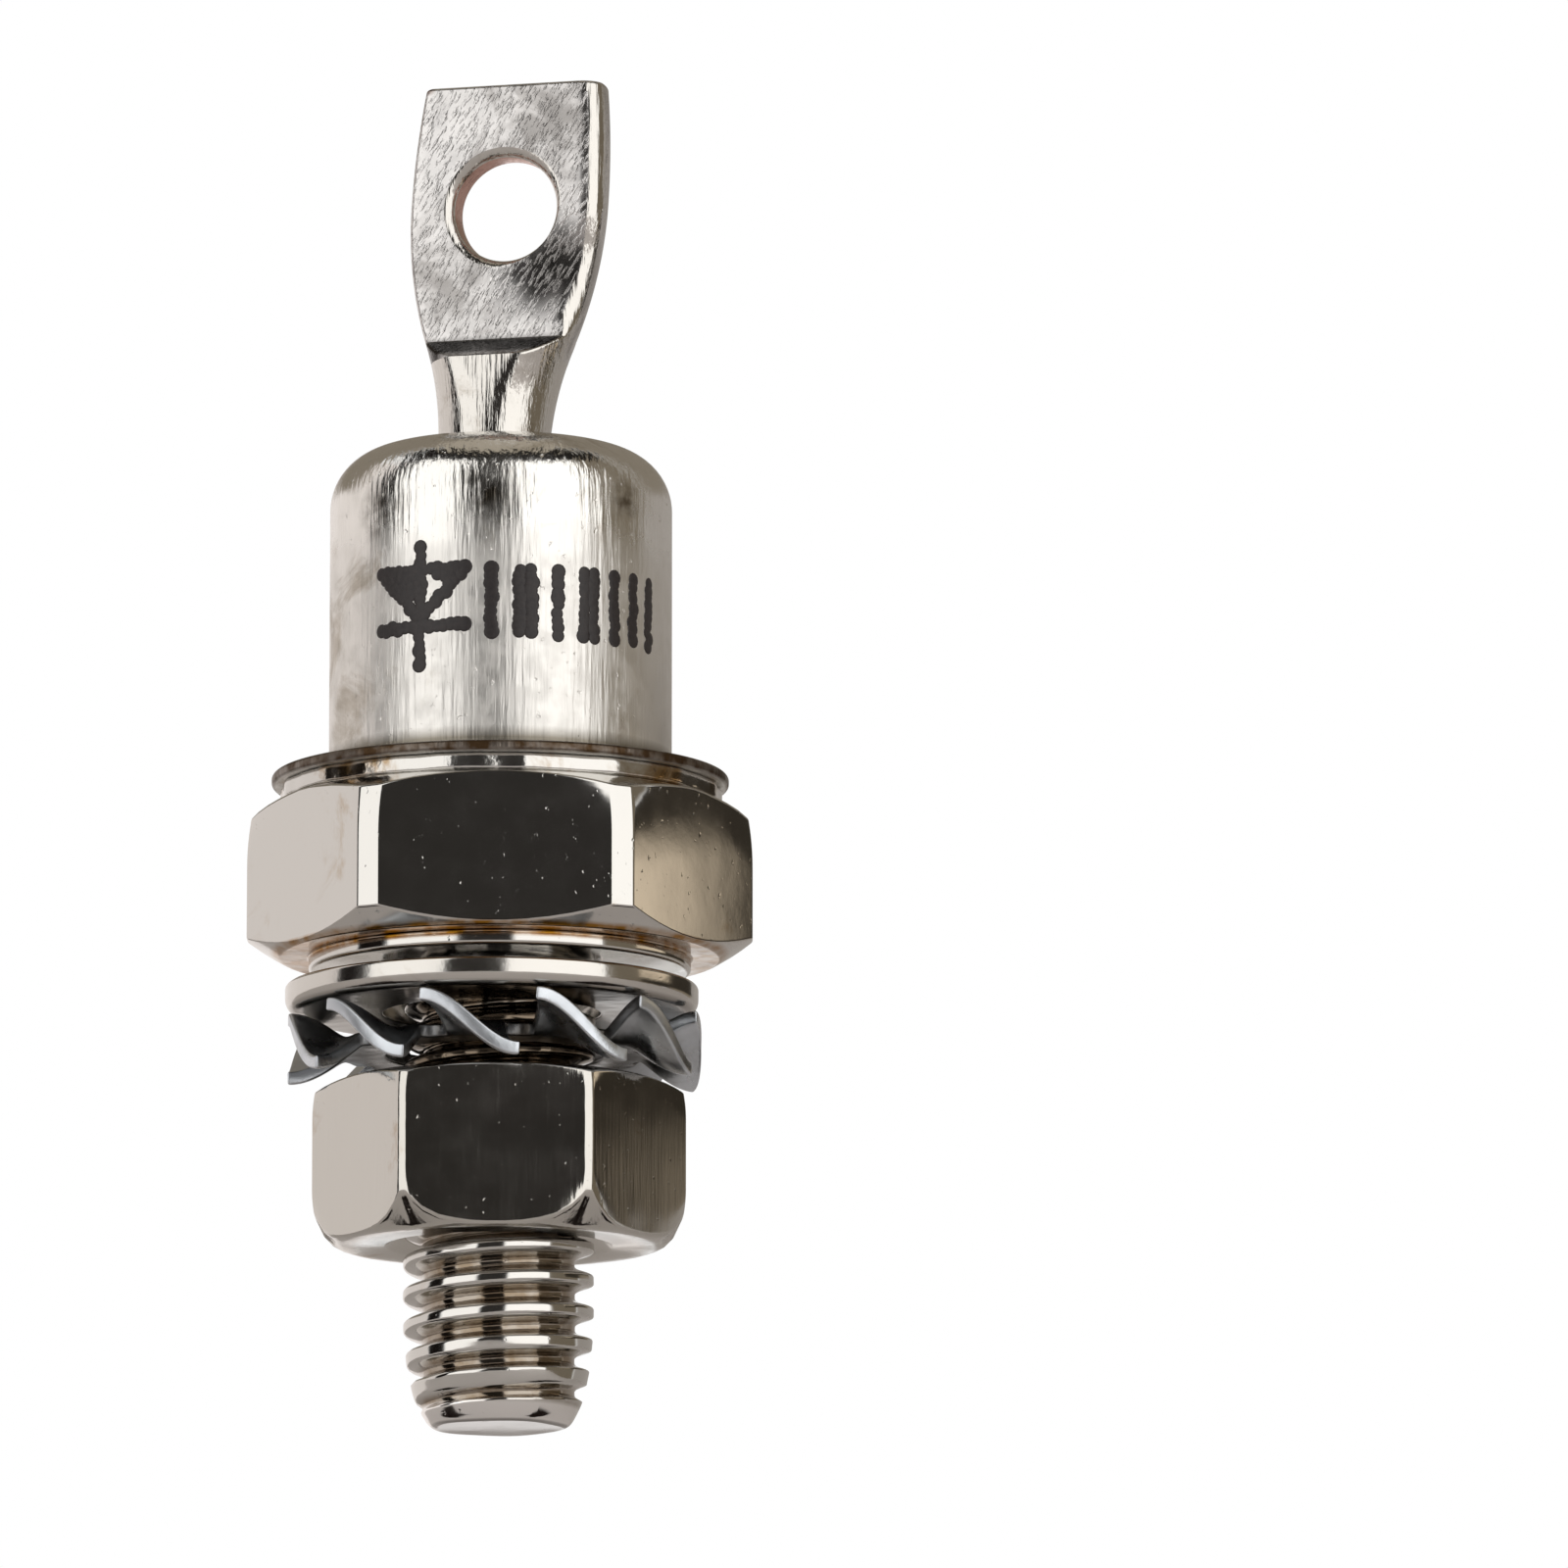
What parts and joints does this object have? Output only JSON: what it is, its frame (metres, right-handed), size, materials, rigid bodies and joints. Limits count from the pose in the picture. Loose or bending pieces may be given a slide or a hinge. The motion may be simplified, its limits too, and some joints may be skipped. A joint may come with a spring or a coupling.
{
  "type": "stud diode",
  "caption": "Stud-mount power diode: a hex base with a threaded stud, a welded metal can and a pierced solder lug, with nut, flat washer and tooth lock washer.",
  "frame": {"origin": "on the stud's axis, in the plane of the base's washer face", "axes": "+Z along the stud's axis from the thread towards the lug, -Y towards a flat of the hex, X through two of its corners"},
  "size_m": [0.0124, 0.0112, 0.0333],
  "materials": {
    "nickel_plate": "bright nickel plate, lightly tarnished",
    "nickel_can": "drawn and nickel plated, satin",
    "seal_glass": "fused dark glass",
    "nickel_lug": "pressed and nickel plated, scratched",
    "solder": "soft solder",
    "copper": "bare copper strip",
    "molybdenum": "ground",
    "silicon": "polished wafer",
    "silicone_rubber": "cast rubber",
    "washer_nickel": "bright nickel plate",
    "zinc_steel": "bright zinc plate",
    "nut_nickel": "bright nickel plate"
  },
  "bodies": {
    "root": {"stud_base": "nickel_plate", "weld_ring": "nickel_plate", "can": "nickel_can", "glass_seal": "seal_glass", "terminal_lug": "nickel_lug", "lead_joint": "solder", "inner_lead": "copper", "lead_solder": "solder", "upper_disc": "molybdenum", "upper_solder": "solder", "silicon_die": "silicon", "lower_solder": "solder", "lower_disc": "molybdenum", "base_solder": "solder", "junction_bead": "silicone_rubber", "flat_washer": "washer_nickel", "lock_washer": "zinc_steel", "hex_nut": "nut_nickel"}
  },
  "joints": []
}
